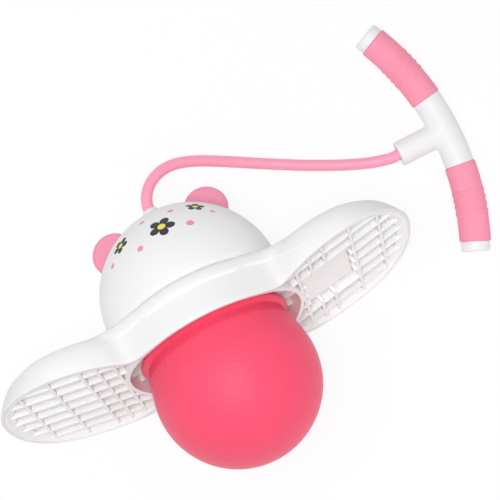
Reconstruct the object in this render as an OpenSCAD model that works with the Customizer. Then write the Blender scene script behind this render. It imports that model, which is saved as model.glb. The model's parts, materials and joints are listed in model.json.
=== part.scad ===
// A jump ball: an air-filled ball held under a two-pedal deck, a hollow dome with two ears over it,
// and an elastic cord from the dome to a curved T handle. Millimetres, +Z up.
// The toy is drawn upright round its own axis, with z = 0 at the seam under the dome, and is then laid
// on its back: the dome and the heel ends of both pedals touch the floor, z = 0, and the cord and the
// handle lie on it. The origin is the point where the dome touches the floor.

/* [Ball] */
// Radius of the inflated ball
ball_r = 70; // [66:0.5:72]
// Depth of the ball's middle below the deck's opening
ball_drop = 37; // [33:0.5:42]
// Wall of the ball
ball_wall = 3; // [2:0.25:4]
// How much narrower the neck is than the ball
neck_in = 9; // [8:0.5:11]
// How much narrower the hollow band under the bead is than the ball
band_in = 4.8; // [3:0.2:6]
// Radius of the bead round the neck
bead_r = 2.6; // [1.5:0.1:3]
// Height of the bead's middle above the deck's opening
bead_up = 9; // [7:0.5:11]
// Thickness of the clamped flange at the top of the neck
flange_t = 3.5; // [2.5:0.25:4.5]

/* [Valve] */
// Radius of the valve's bore
valve_r = 3; // [2:0.25:4]
// Length of the valve's seat
valve_len = 11; // [9:0.5:14]
// Wall of the seat round the plug's head
valve_wall = 1.2; // [1:0.1:1.8]
// Depth of the ball's thick patch round the seat
valve_boss = 6; // [5:0.5:7]
// Radius of the plug's head
plug_head_r = 6; // [5:0.25:8]
// Thickness of the plug's head
plug_head_t = 1.8; // [1.2:0.1:2.4]
// How far below the ball's waist the valve sits, in degrees
valve_low = 35; // [20:1:50]

/* [Dome] */
// How much wider than the ball the dome is
dome_over = 7.7; // [6.5:0.1:10]
// Height of the dome's middle above the seam
dome_rise = 12.2; // [8:0.2:16]
// Wall of the dome
dome_wall = 3; // [2.5:0.25:4]
// How far the dome's lower edge rolls in
dome_roll = 3.3; // [2.5:0.1:4]
// Height of that roll
roll_h = 6; // [4:0.5:8]
// Height of the cord's collar above the top of the dome
collar_h = 8; // [5:0.5:12]
// Radius of the collar at its tip
collar_r = 6.8; // [6:0.1:9]
// Radius of the collar's foot on the dome
collar_foot_r = 15; // [13:0.5:20]
// Depth of the boss inside the dome, under the collar
boss_h = 7; // [5:0.5:10]
// Radius of that boss
boss_r = 11; // [10:0.5:14]

/* [Ears] */
// Radius of an ear
ear_r = 19; // [16:0.5:22]
// Thickness of an ear
ear_t = 11; // [9:0.5:14]
// Rounding of an ear's edge
ear_round = 4; // [2:0.25:4.2]
// How far an ear stands out of the dome
ear_out = 22; // [16:0.5:26]
// Angle between an ear and the cord's collar
ear_polar = 33.6; // [30:0.2:42]
// How far an ear is set back from the side, in degrees
ear_back = 8; // [0:1:20]
// Length of an ear's two tabs inside the dome
ear_tab = 8; // [6:0.5:10]

/* [Deck] */
// Span over the outer edges of both pedals
span = 380; // [370:1:400]
// Half width of a pedal, away from the ball
pedal_a = 70.3; // [66:0.1:74]
// Half length of a pedal, heel to toe
pedal_b = 86.5; // [80:0.5:96]
// How far the pedals' middle lies behind the axis
pedal_back = 12.5; // [8:0.5:20]
// Squareness of a pedal's heel end: 2 is an ellipse
heel_square = 2.38; // [2:0.02:2.8]
// Squareness of a pedal's toe end
toe_square = 2.1; // [2:0.02:2.8]
// Depth of the ring skirt below the seam
ring_h = 38.7; // [37:0.1:42]
// How much wider the skirt's lower edge is than the dome
ring_flare = 4; // [3:0.1:6]
// Distance from the axis where the pedals' rims begin to rise
bend_x = 56; // [50:0.5:62]
// Rise of a pedal's rim, in degrees
rim_tilt = 9.6; // [6:0.2:12]
// Rise of a pedal's top, in degrees
top_tilt = 4.6; // [2:0.2:6]
// How far below the seam the pedals' tops start, at the bend
top_drop = 4.7; // [3:0.1:7]
// How far the pedal's wall leans in
wall_lean = 9; // [4:0.5:11]
// Rounding of the pedal's top edge
top_round = 18; // [12:0.5:19]
// Wall of the skirt
skirt_wall = 3; // [2.5:0.25:4]
// Thickness of the pedals' tops
top_t = 3.2; // [2.5:0.1:4]
// Softness of the corner between ring and pedal
corner_soft = 7; // [4:0.5:10]

/* [Lattice] */
// Thickness of the ribs under the pedals
rib_t = 2.4; // [1.6:0.1:3.2]
// How far the ribs stop short of the rim
rib_short = 1.6; // [0.8:0.1:3]
// Spacing of the ribs that run along a pedal
rib_pitch_y = 20.5; // [17:0.5:26]
// Spacing of the ribs that run across a pedal
rib_pitch_x = 27; // [22:0.5:32]
// Width of the blank panel under the right pedal
panel_w = 46; // [36:1:54]
// Length of the blank panel, heel to toe
panel_l = 66; // [50:1:80]
// How deep the blank panel lies inside the rim
panel_deep = 8; // [6:0.5:12]
// Radial ribs inside the ring skirt
ring_ribs = 24; // [12:12:36]
// Thickness of the ring's ribs
ring_rib_t = 2; // [1.5:0.1:2.6]
// Height of the ring's ribs
ring_rib_h = 12; // [8:0.5:14]
// Spacing of the tread grooves on the pedals' tops
tread_pitch = 9; // [7:0.5:12]
// Width of a tread groove
tread_w = 2.4; // [1.6:0.1:3]
// Depth of a tread groove
tread_d = 0.9; // [0.5:0.1:1.4]
// Tread grooves on each pedal
treads = 11; // [5:2:11]

/* [Clamp and screws] */
// Thickness of the ring that clamps the ball's flange
clamp_t = 6; // [5:0.25:7]
// Width of the clamp ring inside the neck
clamp_in = 8; // [5:0.5:12]
// Thickness of the deck's plate under the flange
plate_t = 4; // [3:0.25:5]
// Least wall beside the screws
screw_land = 0.5; // [0.4:0.05:0.7]
// Radius of the clamp screws
clamp_screw_r = 1.5; // [1.2:0.1:1.6]
// Radius of the clamp screws' heads
clamp_head_r = 2.3; // [2:0.1:2.6]
// Height of the clamp screws' heads
clamp_head_h = 2; // [1.5:0.1:2.5]
// How far the clamp screws go into the deck
clamp_bite = 10; // [8:0.5:12]
// Radius of the dome screws
dome_screw_r = 1.9; // [1.5:0.1:2.2]
// Radius of the dome screws' heads
dome_head_r = 3.6; // [3:0.1:4]
// Height of the dome screws' heads
dome_head_h = 2.4; // [2:0.1:3]
// How far the dome screws go into the dome
dome_bite = 14; // [10:0.5:18]
// Radius of the dome's screw bosses
dome_boss_r = 4.2; // [3.8:0.1:4.4]

/* [Cord] */
// Radius of the elastic cord
cord_r = 5; // [4:0.1:5.4]
// Sides of the cord's drawn tube
cord_sides = 12; // [8:1:12]
// Radius of the washer under the dome's boss
dome_washer_r = 10; // [9:0.25:12]
// Thickness of both washers
washer_t = 2; // [1.5:0.1:3]
// Radius of the stopper knot in the dome
dome_knot_r = 9.5; // [8:0.25:12]
// Length of both knots
knot_len = 14; // [11:0.5:16]

/* [Handle] */
// Radius of the curve of the handle's bar
bar_curve = 240; // [220:5:300]
// Half angle from the handle's middle to the start of a grip
grip_from = 7.7; // [6.5:0.1:9]
// Half angle from the handle's middle to the end of a grip
grip_to = 24.2; // [22:0.1:26]
// Radius of a grip
grip_r = 13.8; // [13.4:0.1:15]
// Radius of the bar between the grips
core_r = 13; // [12.4:0.1:13.2]
// Thickness of a grip's sleeve
grip_wall = 2.8; // [2:0.1:3]
// Wall of the bar inside the grips
bar_wall = 2.6; // [2:0.1:3]
// Rings moulded round each grip
grip_rings = 4; // [2:1:6]
// Height of a grip's rings
ring_up = 0.6; // [0.3:0.1:0.9]
// Width of a grip's rings
ring_w = 3; // [2:0.25:4]
// Spacing of a grip's rings
ring_pitch = 6; // [5:0.25:8]
// Radius of the stem
stem_r = 11.1; // [10.6:0.1:12]
// Length of the stem from the bar's middle line
stem_len = 46; // [40:0.2:54]
// Depth from the bar's middle line to the shoulder that stops the washer
stem_shoulder = 24; // [22:0.5:28]
// Wall of the stem round the knot
stem_wall = 2.7; // [2:0.1:2.8]
// Radius of an end cap
cap_r = 12.8; // [12:0.1:13.2]
// Thickness of an end cap
cap_t = 9; // [6:0.25:11]
// Rounding of an end cap
cap_round = 2.6; // [1.5:0.1:3.5]
// Length of an end cap's plug
cap_plug = 9; // [6:0.5:12]

/* [Fits] */
// Gap between fixed parts that slip together
slip = 0.2; // [0.1:0.05:0.4]
// Gap round parts that move
run = 0.4; // [0.3:0.05:0.6]
// Gap round the valve plug
plug_fit = 0.05; // [0.03:0.01:0.1]
// Gap between the cord and the holes that it passes
cord_fit = 0.5; // [0.3:0.1:0.8]

/* [Hidden] */
$fn = 72;

// Levels along the toy's axis, from the seam down
opening_z = -ring_h;
plate_top = -clamp_t;
ledge_z = plate_top - flange_t;
plate_low = ledge_z - plate_t;
ball_z = opening_z - ball_drop;
bead_z = opening_z + bead_up;
// Radii round the toy's axis
dome_r = ball_r + dome_over;
ring_r = dome_r + ring_flare;
seat_r = sqrt(dome_r * dome_r - dome_rise * dome_rise) - dome_roll;
seat_in_r = seat_r - dome_wall;
neck_r = ball_r - neck_in;
clamp_out_r = seat_in_r - slip;
screw_ring_r = clamp_out_r - clamp_head_r - slip - screw_land;
flange_r = screw_ring_r - dome_screw_r - 2 * slip - screw_land;
valve_seat_r = plug_head_r + run + valve_wall;
valve_out = sqrt(ball_r * ball_r - valve_seat_r * valve_seat_r);
groove_low_r = ring_r - skirt_wall;
groove_top_r = seat_r + dome_wall - slip;
cord_hole_r = cord_r + cord_fit;
// Levels at the top of the dome
inner_r = dome_r - dome_wall;
boss_z = dome_rise + inner_r - boss_h;
collar_z = dome_rise + dome_r + collar_h;
knot_z = boss_z - washer_t;
// The pedals' outline and planes
pedal_x = span / 2 - pedal_a;
rim_slope = tan(rim_tilt);
top_slope = tan(top_tilt);
bend_soft = 5;
swell_from = 46;
swell_to = 100;
ring_lean = 3;
bead_in = 5.2;
bead_h = 9.6;
lip_step = 0.8;
edge_round = 1.2;
seat_shy = 0.2;
spokes = 44;
round_steps = 5;
all_spokes = 2 * spokes;
// The handle on the floor
handle_at = [262, 25.5, grip_r + ring_up];
bar_bore_r = grip_r - grip_wall - bar_wall;
bar_r = grip_r - grip_wall;
stem_bore_r = stem_r - stem_wall;
knot_r = stem_bore_r - run;
washer_x = -stem_shoulder + run;
knot_x = washer_x + washer_t;
// Screws: six hold the clamp ring, and four of the gaps between them hold the dome
clamp_angles = [0, 60, 120, 180, 240, 300];
dome_angles = [30, 150, 210, 330];

// Points of an arc round c, from angle a0 to a1
function arc(c, r, a0, a1, n) = [for (i = [0:n]) c + r * [cos(a0 + (a1 - a0) * i / n), sin(a0 + (a1 - a0) * i / n)]];
// Points of a curve from p to q that sets out towards m
function bend(p, m, q, n) = [for (i = [0:n]) let (t = i / n) (1 - t) * (1 - t) * p + 2 * t * (1 - t) * m + t * t * q];
function mix(a, b, w) = a + (b - a) * w;
function ease(t) = let (u = min(1, max(0, t))) u * u * (3 - 2 * u);

module round_axis(angles, r) for (a = angles) rotate(a) translate([r, 0, 0]) children();

// The deck's outline: a ring and a pedal, joined with a soft corner
function ring_gap(p) = norm(p) - ring_r;
function pedal_gap(p) =
    let (u = abs(p[0] - pedal_x) / pedal_a, v = abs(p[1] - pedal_back) / pedal_b)
    let (n = p[1] > pedal_back ? heel_square : toe_square)
    (pow(pow(u, n) + pow(v, n), 1 / n) - 1) * pedal_a;
function deck_gap(p) =
    let (a = ring_gap(p), b = pedal_gap(p), m = min(a, b))
    m - corner_soft * ln(exp((m - a) / corner_soft) + exp((m - b) / corner_soft));
function edge_on(c, d, lo, hi, k) =
    let (t = (lo + hi) / 2)
    k == 0 ? c + d * t : deck_gap(c + d * t) < 0 ? edge_on(c, d, t, hi, k - 1) : edge_on(c, d, lo, t, k - 1);
half_edge = [for (i = [0:spokes])
    let (t = 2 * i / spokes - 1, a = 45 * (t + sin(90 * t)))
    edge_on([pedal_x, pedal_back] * cos(a), [cos(a), sin(a)], 0, span, 40)];
function outward(p) =
    let (e = 0.01, g = [deck_gap(p + [e, 0]) - deck_gap(p - [e, 0]), deck_gap(p + [0, e]) - deck_gap(p - [0, e])])
    g / norm(g);
half_out = [for (p = half_edge) outward(p)];
function both_sides(half) = concat(half, [for (i = [spokes - 1:-1:1]) [-half[i][0], half[i][1]]]);
deck_edge = both_sides(half_edge);
deck_out = both_sides(half_out);
swell = [for (p = deck_edge) ease((abs(p[0]) - swell_from) / (swell_to - swell_from))];

// Heights of the rim and of the pedals' tops, by distance from the middle
function rim_z(x) = opening_z + rim_slope * bend_soft * ln(1 + exp((abs(x) - bend_x) / bend_soft));
function pedal_top(x) = -top_drop + top_slope * (abs(x) - bend_x);
function deck_top(x, w) = mix(-seat_shy, pedal_top(x), w);
// One ring of the deck's skin: the wall inset by t, then the round shoulder up to top - t_top
function shoulder(step, wall, low) = [for (i = [0:all_spokes - 1])
    let (w = swell[i], a = 90 * step / round_steps)
    let (in = mix(ring_lean, wall_lean, w) + wall + (mix(bead_in, top_round, w) - wall * w) * (1 - cos(a)))
    let (p = deck_edge[i] - in * deck_out[i])
    [p[0], p[1], deck_top(p[0], w) - low - (mix(bead_h, top_round, w) - low) * (1 - sin(a))]];
function under_lip(wall) = [for (i = [0:all_spokes - 1])
    let (w = swell[i], s = lip_step * (1 - w))
    let (p = deck_edge[i] - (mix(ring_lean, wall_lean, w) + wall + s) * deck_out[i])
    [p[0], p[1], deck_top(p[0], w) - mix(bead_h, top_round, w) - s - edge_round]];
function rim(in, up) = [for (i = [0:all_spokes - 1])
    let (p = deck_edge[i] - in * deck_out[i])
    [p[0], p[1], rim_z(p[0]) + up]];

// The toy's lean when it lies on its back: dome and deck then reach equally far down
deck_low = concat(rim(edge_round, 0), rim(0, edge_round), [for (k = [0:round_steps]) each shoulder(k, 0, 0)]);
function deck_reach(a) = max([for (p = deck_low) p[1] * cos(a) + p[2] * sin(a)]);
function dome_reach(a) = dome_rise * sin(a) + dome_r;
function find_lean(lo, hi, k) =
    let (a = (lo + hi) / 2)
    k == 0 ? a : deck_reach(a) > dome_reach(a) ? find_lean(a, hi, k - 1) : find_lean(lo, a, k - 1);
lean = find_lean(2, 70, 40);
rest_h = dome_reach(lean);
echo(lean = lean, rest_h = rest_h);
// A point on the toy's axis, where it lies
function laid(z) = [0, (z - dome_rise) * cos(lean), rest_h - z * sin(lean)];
module lying() translate([0, -dome_rise * cos(lean), rest_h]) rotate([-90 - lean, 0, 0]) children();

// A solid skinned over rings of points, with its two ends closed by strips from toe to heel
module skin(rings) {
    n = all_spokes;
    last = (len(rings) - 1) * n;
    sides = [for (j = [0:len(rings) - 2], i = [0:n - 1])
        let (a = j * n + i, b = j * n + (i + 1) % n)
        each [[a, a + n, b + n], [a, b + n, b]]];
    right = [for (i = [0:spokes / 2 - 1]) each [[i, spokes - i, spokes - i - 1], [i, spokes - i - 1, i + 1]]];
    left = [for (f = right) [for (k = [2:-1:0]) (n - f[k]) % n]];
    strips = [for (f = concat(right, left)) if (f[0] != f[1] && f[1] != f[2] && f[2] != f[0]) f];
    ends = [for (f = strips) each [[for (k = f) k + last], [f[2], f[1], f[0]]]];
    polyhedron([for (r = rings) each r], concat(sides, ends));
}
module deck_skin() {
    skin(concat([rim(edge_round, 0), rim(0, edge_round), under_lip(0)],
                [for (s = [0:round_steps]) shoulder(s, 0, 0)]));
}
module deck_hollow() {
    skin(concat([rim(skirt_wall, -edge_round), under_lip(skirt_wall)],
                [for (s = [0:round_steps]) shoulder(s, skirt_wall, top_t)]));
}
// The plane of a pedal's rim, with x running outwards from the bend
module on_rim(side) {
    mirror([side < 0 ? 1 : 0, 0, 0]) translate([bend_x, 0, opening_z]) rotate([0, -rim_tilt, 0]) children();
}
module lattice(side) {
    reach = span / 2 - bend_x + skirt_wall;
    rows = floor(pedal_b / rib_pitch_y);
    cols = floor(reach / rib_pitch_x);
    on_rim(side) translate([0, 0, rib_short]) linear_extrude(ring_h) difference() {
        union() {
            for (k = [-rows:rows]) translate([0, pedal_back + k * rib_pitch_y - rib_t / 2]) square([reach, rib_t]);
            for (k = concat([1, 1.5], [for (i = [2:cols]) i]))
                translate([k * rib_pitch_x - rib_t / 2, pedal_back - pedal_b]) square([rib_t, 2 * pedal_b]);
        }
        if (side > 0) panel_outline();
    }
}
module panel_outline() {
    translate([2 * rib_pitch_x - panel_w / 2, pedal_back - panel_l / 2]) square([panel_w, panel_l]);
}
module blank_panel() {
    on_rim(1) translate([0, 0, panel_deep]) linear_extrude(ring_h) panel_outline();
}
module tread_grooves(side) {
    long = pedal_a - wall_lean - top_round - tread_w;
    mirror([side < 0 ? 1 : 0, 0, 0]) translate([pedal_x, pedal_back, pedal_top(pedal_x)])
        rotate([0, -top_tilt, 0])
            for (k = [-(treads - 1) / 2:(treads - 1) / 2])
                translate([-long, k * tread_pitch - tread_w / 2, -tread_d]) cube([2 * long, tread_w, top_t]);
}

module deck() {
    seat = [for (p = arc([0, 0], 1, 90, 0, 8)) [seat_r - seat_shy + bead_in * (p[0]), bead_h * (p[1] - 1)]];
    color("whitesmoke") lying() difference() {
        union() {
            difference() {
                union() {
                    deck_skin();
                    rotate_extrude() polygon(concat([[seat_in_r - dome_wall, plate_low], [seat_in_r - dome_wall, 0]],
                                                    seat, [[seat_r + bead_in, plate_low]]));
                }
                difference() {
                    deck_hollow();
                    translate([0, 0, opening_z - ring_h]) cylinder(r = ring_r, h = 3 * ring_h);
                    lattice(1);
                    lattice(-1);
                    blank_panel();
                }
                rotate_extrude() polygon([[0, opening_z - 2 * edge_round], [groove_low_r, opening_z - 2 * edge_round],
                    [groove_top_r, plate_low], [neck_r + slip, plate_low], [neck_r + slip, ledge_z],
                    [flange_r + slip, ledge_z], [flange_r + slip, plate_top], [seat_in_r, plate_top],
                    [seat_in_r, ring_h], [0, ring_h]]);
            }
            round_axis([for (k = [0.5:ring_ribs]) 360 * k / ring_ribs], 0)
                translate([neck_r + 2 * run, -ring_rib_t / 2, plate_low - ring_rib_h])
                    cube([groove_top_r + run - neck_r, ring_rib_t, ring_rib_h + plate_t / 2]);
            round_axis(clamp_angles, screw_ring_r)
                translate([0, 0, plate_top - clamp_bite - plate_t / 2])
                    cylinder(r = clamp_screw_r + 2 * slip + ring_rib_t, h = clamp_bite - flange_t);
        }
        round_axis(clamp_angles, screw_ring_r)
            translate([0, 0, plate_top - clamp_bite - slip]) cylinder(r = clamp_screw_r + slip, h = clamp_bite + clamp_t);
        round_axis(dome_angles, screw_ring_r)
            translate([0, 0, plate_low - ring_h / 2]) cylinder(r = dome_screw_r + slip, h = ring_h);
        tread_grooves(1);
        tread_grooves(-1);
    }
}

// The ball's outside: bulb, hollow band, bead, neck and flange
ball_taper = 12;
band_r = ball_r - band_in;
taper_p = [ball_r * cos(ball_taper), ball_z + ball_r * sin(ball_taper)];
band_p = [band_r, bead_z - 2 * bead_r];
ball_outside = concat(
    arc([0, ball_z], ball_r, -90, ball_taper, 26),
    bend(taper_p, taper_p + (band_p[1] - taper_p[1]) * 0.6 * [-sin(ball_taper), cos(ball_taper)], band_p, 6),
    arc([band_r - bead_r / 3, bead_z], bead_r, -50, 90, 8),
    [[neck_r, bead_z + bead_r], [neck_r, ledge_z], [flange_r, ledge_z], [flange_r, plate_top], [0, plate_top]]);
air_r = ball_r - ball_wall;
mouth_r = neck_r - ball_wall;
ball_inside = concat(
    arc([0, ball_z], air_r, -90, acos(mouth_r / air_r), 26),
    [[mouth_r, ledge_z], [0, ledge_z]]);
// The valve's own axis, out of the ball's low back
module at_valve() translate([0, 0, ball_z]) rotate([-90 - valve_low, 0, 0]) children();

module ball() {
    color([0.97, 0.38, 0.5]) lying() difference() {
        union() {
            difference() {
                rotate_extrude() polygon(ball_outside);
                rotate_extrude() polygon(ball_inside);
            }
            at_valve() translate([0, 0, ball_r - valve_boss])
                cylinder(r = valve_seat_r + ball_wall, h = valve_boss - ball_wall / 2);
        }
        at_valve() translate([0, 0, ball_r - 2 * valve_len]) cylinder(r = valve_seat_r + slip, h = 3 * valve_len);
    }
}
module valve_seat() {
    color([0.9, 0.36, 0.47]) lying() at_valve() difference() {
        union() {
            translate([0, 0, ball_r - valve_len]) cylinder(r = valve_seat_r, h = valve_out - ball_r + valve_len);
            translate([0, 0, ball_r - valve_boss - valve_wall]) cylinder(r = valve_seat_r + ball_wall, h = valve_wall);
        }
        translate([0, 0, ball_r - 2 * valve_len]) cylinder(r = valve_r + plug_fit, h = 3 * valve_len);
        translate([0, 0, ball_r - plug_head_t - run]) cylinder(r = plug_head_r + run, h = valve_len);
    }
}
module valve_plug() {
    color([0.93, 0.42, 0.53]) lying() at_valve() union() {
        translate([0, 0, ball_r - plug_head_t]) cylinder(r = plug_head_r, h = plug_head_t);
        translate([0, 0, ball_r - valve_len]) cylinder(r = valve_r, h = valve_len - plug_head_t / 2);
    }
}

module clamp_ring() {
    color("gainsboro") lying() difference() {
        rotate_extrude() polygon([[neck_r - clamp_in, plate_top], [clamp_out_r, plate_top],
                                  [clamp_out_r, 0], [neck_r - clamp_in, 0]]);
        round_axis(clamp_angles, screw_ring_r) {
            translate([0, 0, -2 * clamp_t]) cylinder(r = clamp_screw_r + slip, h = 3 * clamp_t);
            translate([0, 0, -clamp_head_h - slip]) cylinder(r = clamp_head_r + slip, h = clamp_t);
        }
        round_axis(dome_angles, screw_ring_r)
            translate([0, 0, -2 * clamp_t]) cylinder(r = dome_screw_r + slip, h = 3 * clamp_t);
    }
}
module clamp_screws() {
    color("silver") lying() round_axis(clamp_angles, screw_ring_r) union() {
        translate([0, 0, -clamp_head_h - slip]) cylinder(r = clamp_head_r, h = clamp_head_h);
        translate([0, 0, plate_top - clamp_bite]) cylinder(r = clamp_screw_r, h = clamp_bite + clamp_t - clamp_head_h);
    }
}
module dome_screws() {
    color("silver") lying() round_axis(dome_angles, screw_ring_r) union() {
        translate([0, 0, plate_low - dome_head_h]) cylinder(r = dome_head_r, h = dome_head_h);
        translate([0, 0, plate_low - dome_head_h / 2])
            cylinder(r = dome_screw_r, h = dome_bite - plate_low + dome_head_h / 2);
    }
}

// The dome's shell, with the cord's collar outside and its boss inside
roll_a = asin((roll_h - dome_rise) / dome_r);
roll_p = [dome_r * cos(roll_a), roll_h];
foot_a = acos(collar_foot_r / dome_r);
foot_p = [collar_foot_r, dome_rise + dome_r * sin(foot_a)];
inner_a = acos(boss_r / inner_r);
dome_shell = concat(
    [[seat_in_r, 0]],
    bend([seat_r, 0], [roll_p[0], 0], roll_p, 6),
    arc([0, dome_rise], dome_r, roll_a + 2, foot_a - 2, 30),
    bend(foot_p, [collar_r + 1, collar_z - collar_h], [collar_r, collar_z], 6),
    [[cord_hole_r, collar_z], [cord_hole_r, boss_z], [boss_r, boss_z]],
    arc([0, dome_rise], inner_r, inner_a, asin((roll_h - dome_rise) / inner_r), 30));
// An ear's own axis: outwards from the dome, with the ear's face to the front
module at_ear(side) {
    translate([0, 0, dome_rise]) rotate([0, 0, side > 0 ? ear_back : 180 - ear_back]) rotate([0, ear_polar, 0]) children();
}
module ear_tabs(grow) {
    for (s = [-1, 1])
        translate([s * ear_r / 2 - ear_t / 4 - grow, -ear_t / 6 - grow, dome_r - ear_tab])
            cube([ear_t / 2 + 2 * grow, ear_t / 3 + 2 * grow, ear_tab + ear_t / 3]);
}

module dome() {
    color("white") lying() difference() {
        union() {
            rotate_extrude() polygon(dome_shell);
            round_axis(dome_angles, screw_ring_r) {
                cylinder(r = dome_boss_r, h = dome_bite + roll_h);
                translate([0, -dome_wall / 2, dome_wall])
                    cube([dome_r - dome_wall / 2 - screw_ring_r, dome_wall, dome_bite]);
            }
        }
        round_axis(dome_angles, screw_ring_r)
            translate([0, 0, -roll_h]) cylinder(r = dome_screw_r + slip, h = dome_bite + roll_h + slip);
        for (s = [-1, 1]) at_ear(s) ear_tabs(slip);
    }
}
module ear(side) {
    half = ear_t / 2;
    face = concat([[0, -half]], arc([ear_r - ear_round, -half + ear_round], ear_round, -90, 0, 6),
                  arc([ear_r - ear_round, half - ear_round], ear_round, 0, 90, 6), [[0, half]]);
    color([0.96, 0.6, 0.7]) lying() union() {
        difference() {
            at_ear(side) translate([0, 0, dome_r + ear_out - ear_r]) rotate([90, 0, 0]) rotate_extrude() polygon(face);
            translate([0, 0, dome_rise]) sphere(r = dome_r + slip);
        }
        at_ear(side) ear_tabs(0);
    }
}
module ear_left() ear(-1);
module ear_right() ear(1);

// The cord: out of the dome's collar, down to the floor and along it to the handle's stem
cord_lead = 2;
cord_route = concat(
    [laid(knot_z), laid(boss_z), laid(collar_z), laid(collar_z + cord_lead)],
    [[3, 92, 41.8], [10.5, 100.5, 38], [22, 106.3, 33], [35.5, 107.3, 27], [50, 103.8, 20.2], [69.5, 94.6, 13],
     [89.5, 83.4, 8], [109.5, 71.8, 5.4], [125, 63, 5], [140, 54.6, 5], [154, 47.4, 5], [168, 40.4, 5.6],
     [180, 35, 7.4], [192, 30.2, 10.3], [202, 27.2, 12.8]],
    [for (x = [-stem_len - 3 * cord_lead, -stem_len, knot_x]) handle_at + [x, 0, 0]]);
module cord() {
    n = len(cord_route);
    along = [for (i = [0:n - 1])
        let (v = cord_route[min(i + 1, n - 1)] - cord_route[max(i - 1, 0)])
        i == 2 ? cord_route[2] - cord_route[1] : i == n - 2 ? cord_route[n - 1] - cord_route[n - 2] : v];
    rings = [for (i = [0:n - 1])
        let (s = cross(along[i], [0, 0, 1]), u = cross(s, along[i]))
        for (k = [0:cord_sides - 1])
            let (a = 360 * k / cord_sides)
            cord_route[i] + cord_r * (cos(a) * s / norm(s) + sin(a) * u / norm(u))];
    walls = [for (i = [0:n - 2], k = [0:cord_sides - 1])
        let (a = i * cord_sides + k, b = i * cord_sides + (k + 1) % cord_sides, m = cord_sides)
        each [[a, b, b + m], [a, b + m, a + m]]];
    ends = [[for (k = [cord_sides - 1:-1:0]) k], [for (k = [0:cord_sides - 1]) (n - 1) * cord_sides + k]];
    color([1, 0.64, 0.74]) polyhedron(rings, concat(walls, ends));
}
// A stopper knot, drawn up tight: two round turns side by side
function knot_face(r, long) = concat([[0, 0], [r * 0.75, 0]], arc([r - long / 4, long / 4], long / 4, -60, 70, 6),
    arc([r - long / 4, long * 3 / 4], long / 4, -70, 60, 6), [[r * 0.75, long], [0, long]]);
module dome_knot() {
    color([0.98, 0.6, 0.7]) lying() translate([0, 0, knot_z]) mirror([0, 0, 1])
        rotate_extrude() polygon(knot_face(dome_knot_r, knot_len));
}
module dome_washer() {
    color("silver") lying() translate([0, 0, knot_z]) difference() {
        cylinder(r = dome_washer_r, h = washer_t);
        translate([0, 0, -washer_t]) cylinder(r = cord_hole_r, h = 3 * washer_t);
    }
}

// The handle: its bar curves back towards the stem, which runs along -X
module at_handle() translate(handle_at) children();
module bar(r, from, to) {
    translate([-bar_curve, 0, 0]) rotate([0, 0, from]) rotate_extrude(angle = to - from)
        translate([bar_curve, 0]) circle(r = r);
}
module along_stem(x) translate([x, 0, 0]) rotate([0, 90, 0]) children();

module handle_core() {
    color("white") at_handle() difference() {
        union() {
            bar(bar_r, -grip_to, grip_to);
            bar(core_r, -grip_from, grip_from);
            along_stem(-stem_len) cylinder(r = stem_r, h = stem_len);
        }
        bar(bar_bore_r, -grip_to - 1, grip_to + 1);
        along_stem(-2 * stem_len) cylinder(r = cord_hole_r, h = 2 * stem_len);
        along_stem(-stem_shoulder) cylinder(r = stem_bore_r, h = stem_shoulder);
    }
}
module grip(side) {
    from = side > 0 ? grip_from : -grip_to;
    mid = side * (grip_from + grip_to) / 2;
    turn = 180 / PI / bar_curve;
    color([0.98, 0.62, 0.71]) at_handle() difference() {
        union() {
            bar(grip_r, from, from + grip_to - grip_from);
            for (k = [0:grip_rings - 1])
                let (a = mid + turn * ring_pitch * (k - (grip_rings - 1) / 2))
                bar(grip_r + ring_up, a - turn * ring_w / 2, a + turn * ring_w / 2);
        }
        bar(bar_r + slip, from - 1, from + grip_to - grip_from + 1);
    }
}
module grip_left() grip(1);
module grip_right() grip(-1);
module cap(side) {
    face = concat([[0, -cap_plug], [bar_bore_r - run, -cap_plug], [bar_bore_r - run, 0], [cap_r, 0]],
                  arc([cap_r - cap_round, cap_t - cap_round], cap_round, 0, 90, 6), [[0, cap_t]]);
    color("white") at_handle() translate([-bar_curve, 0, 0]) rotate([0, 0, side * grip_to])
        translate([bar_curve, 0, 0]) rotate([-side * 90, 0, 0]) rotate_extrude() polygon(face);
}
module cap_left() cap(1);
module cap_right() cap(-1);
module handle_knot() {
    color([0.98, 0.6, 0.7]) at_handle() along_stem(knot_x) rotate_extrude() polygon(knot_face(knot_r, knot_len));
}
module handle_washer() {
    color("silver") at_handle() along_stem(washer_x) difference() {
        cylinder(r = knot_r, h = washer_t);
        translate([0, 0, -washer_t]) cylinder(r = cord_hole_r, h = 3 * washer_t);
    }
}

deck();
ball();
valve_seat();
valve_plug();
clamp_ring();
clamp_screws();
dome();
dome_screws();
ear_left();
ear_right();
cord();
dome_knot();
dome_washer();
handle_core();
grip_left();
grip_right();
cap_left();
cap_right();
handle_knot();
handle_washer();
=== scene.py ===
"""A jump ball with a foot deck, an eared dome and a T handle on an elastic cord, dressed round its solids.

Lengths are in metres. The toy is worked out upright round its own axis, with z = 0 at the seam under the
dome, and is then laid on its back, as its solids are.
"""

import json
import math

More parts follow.
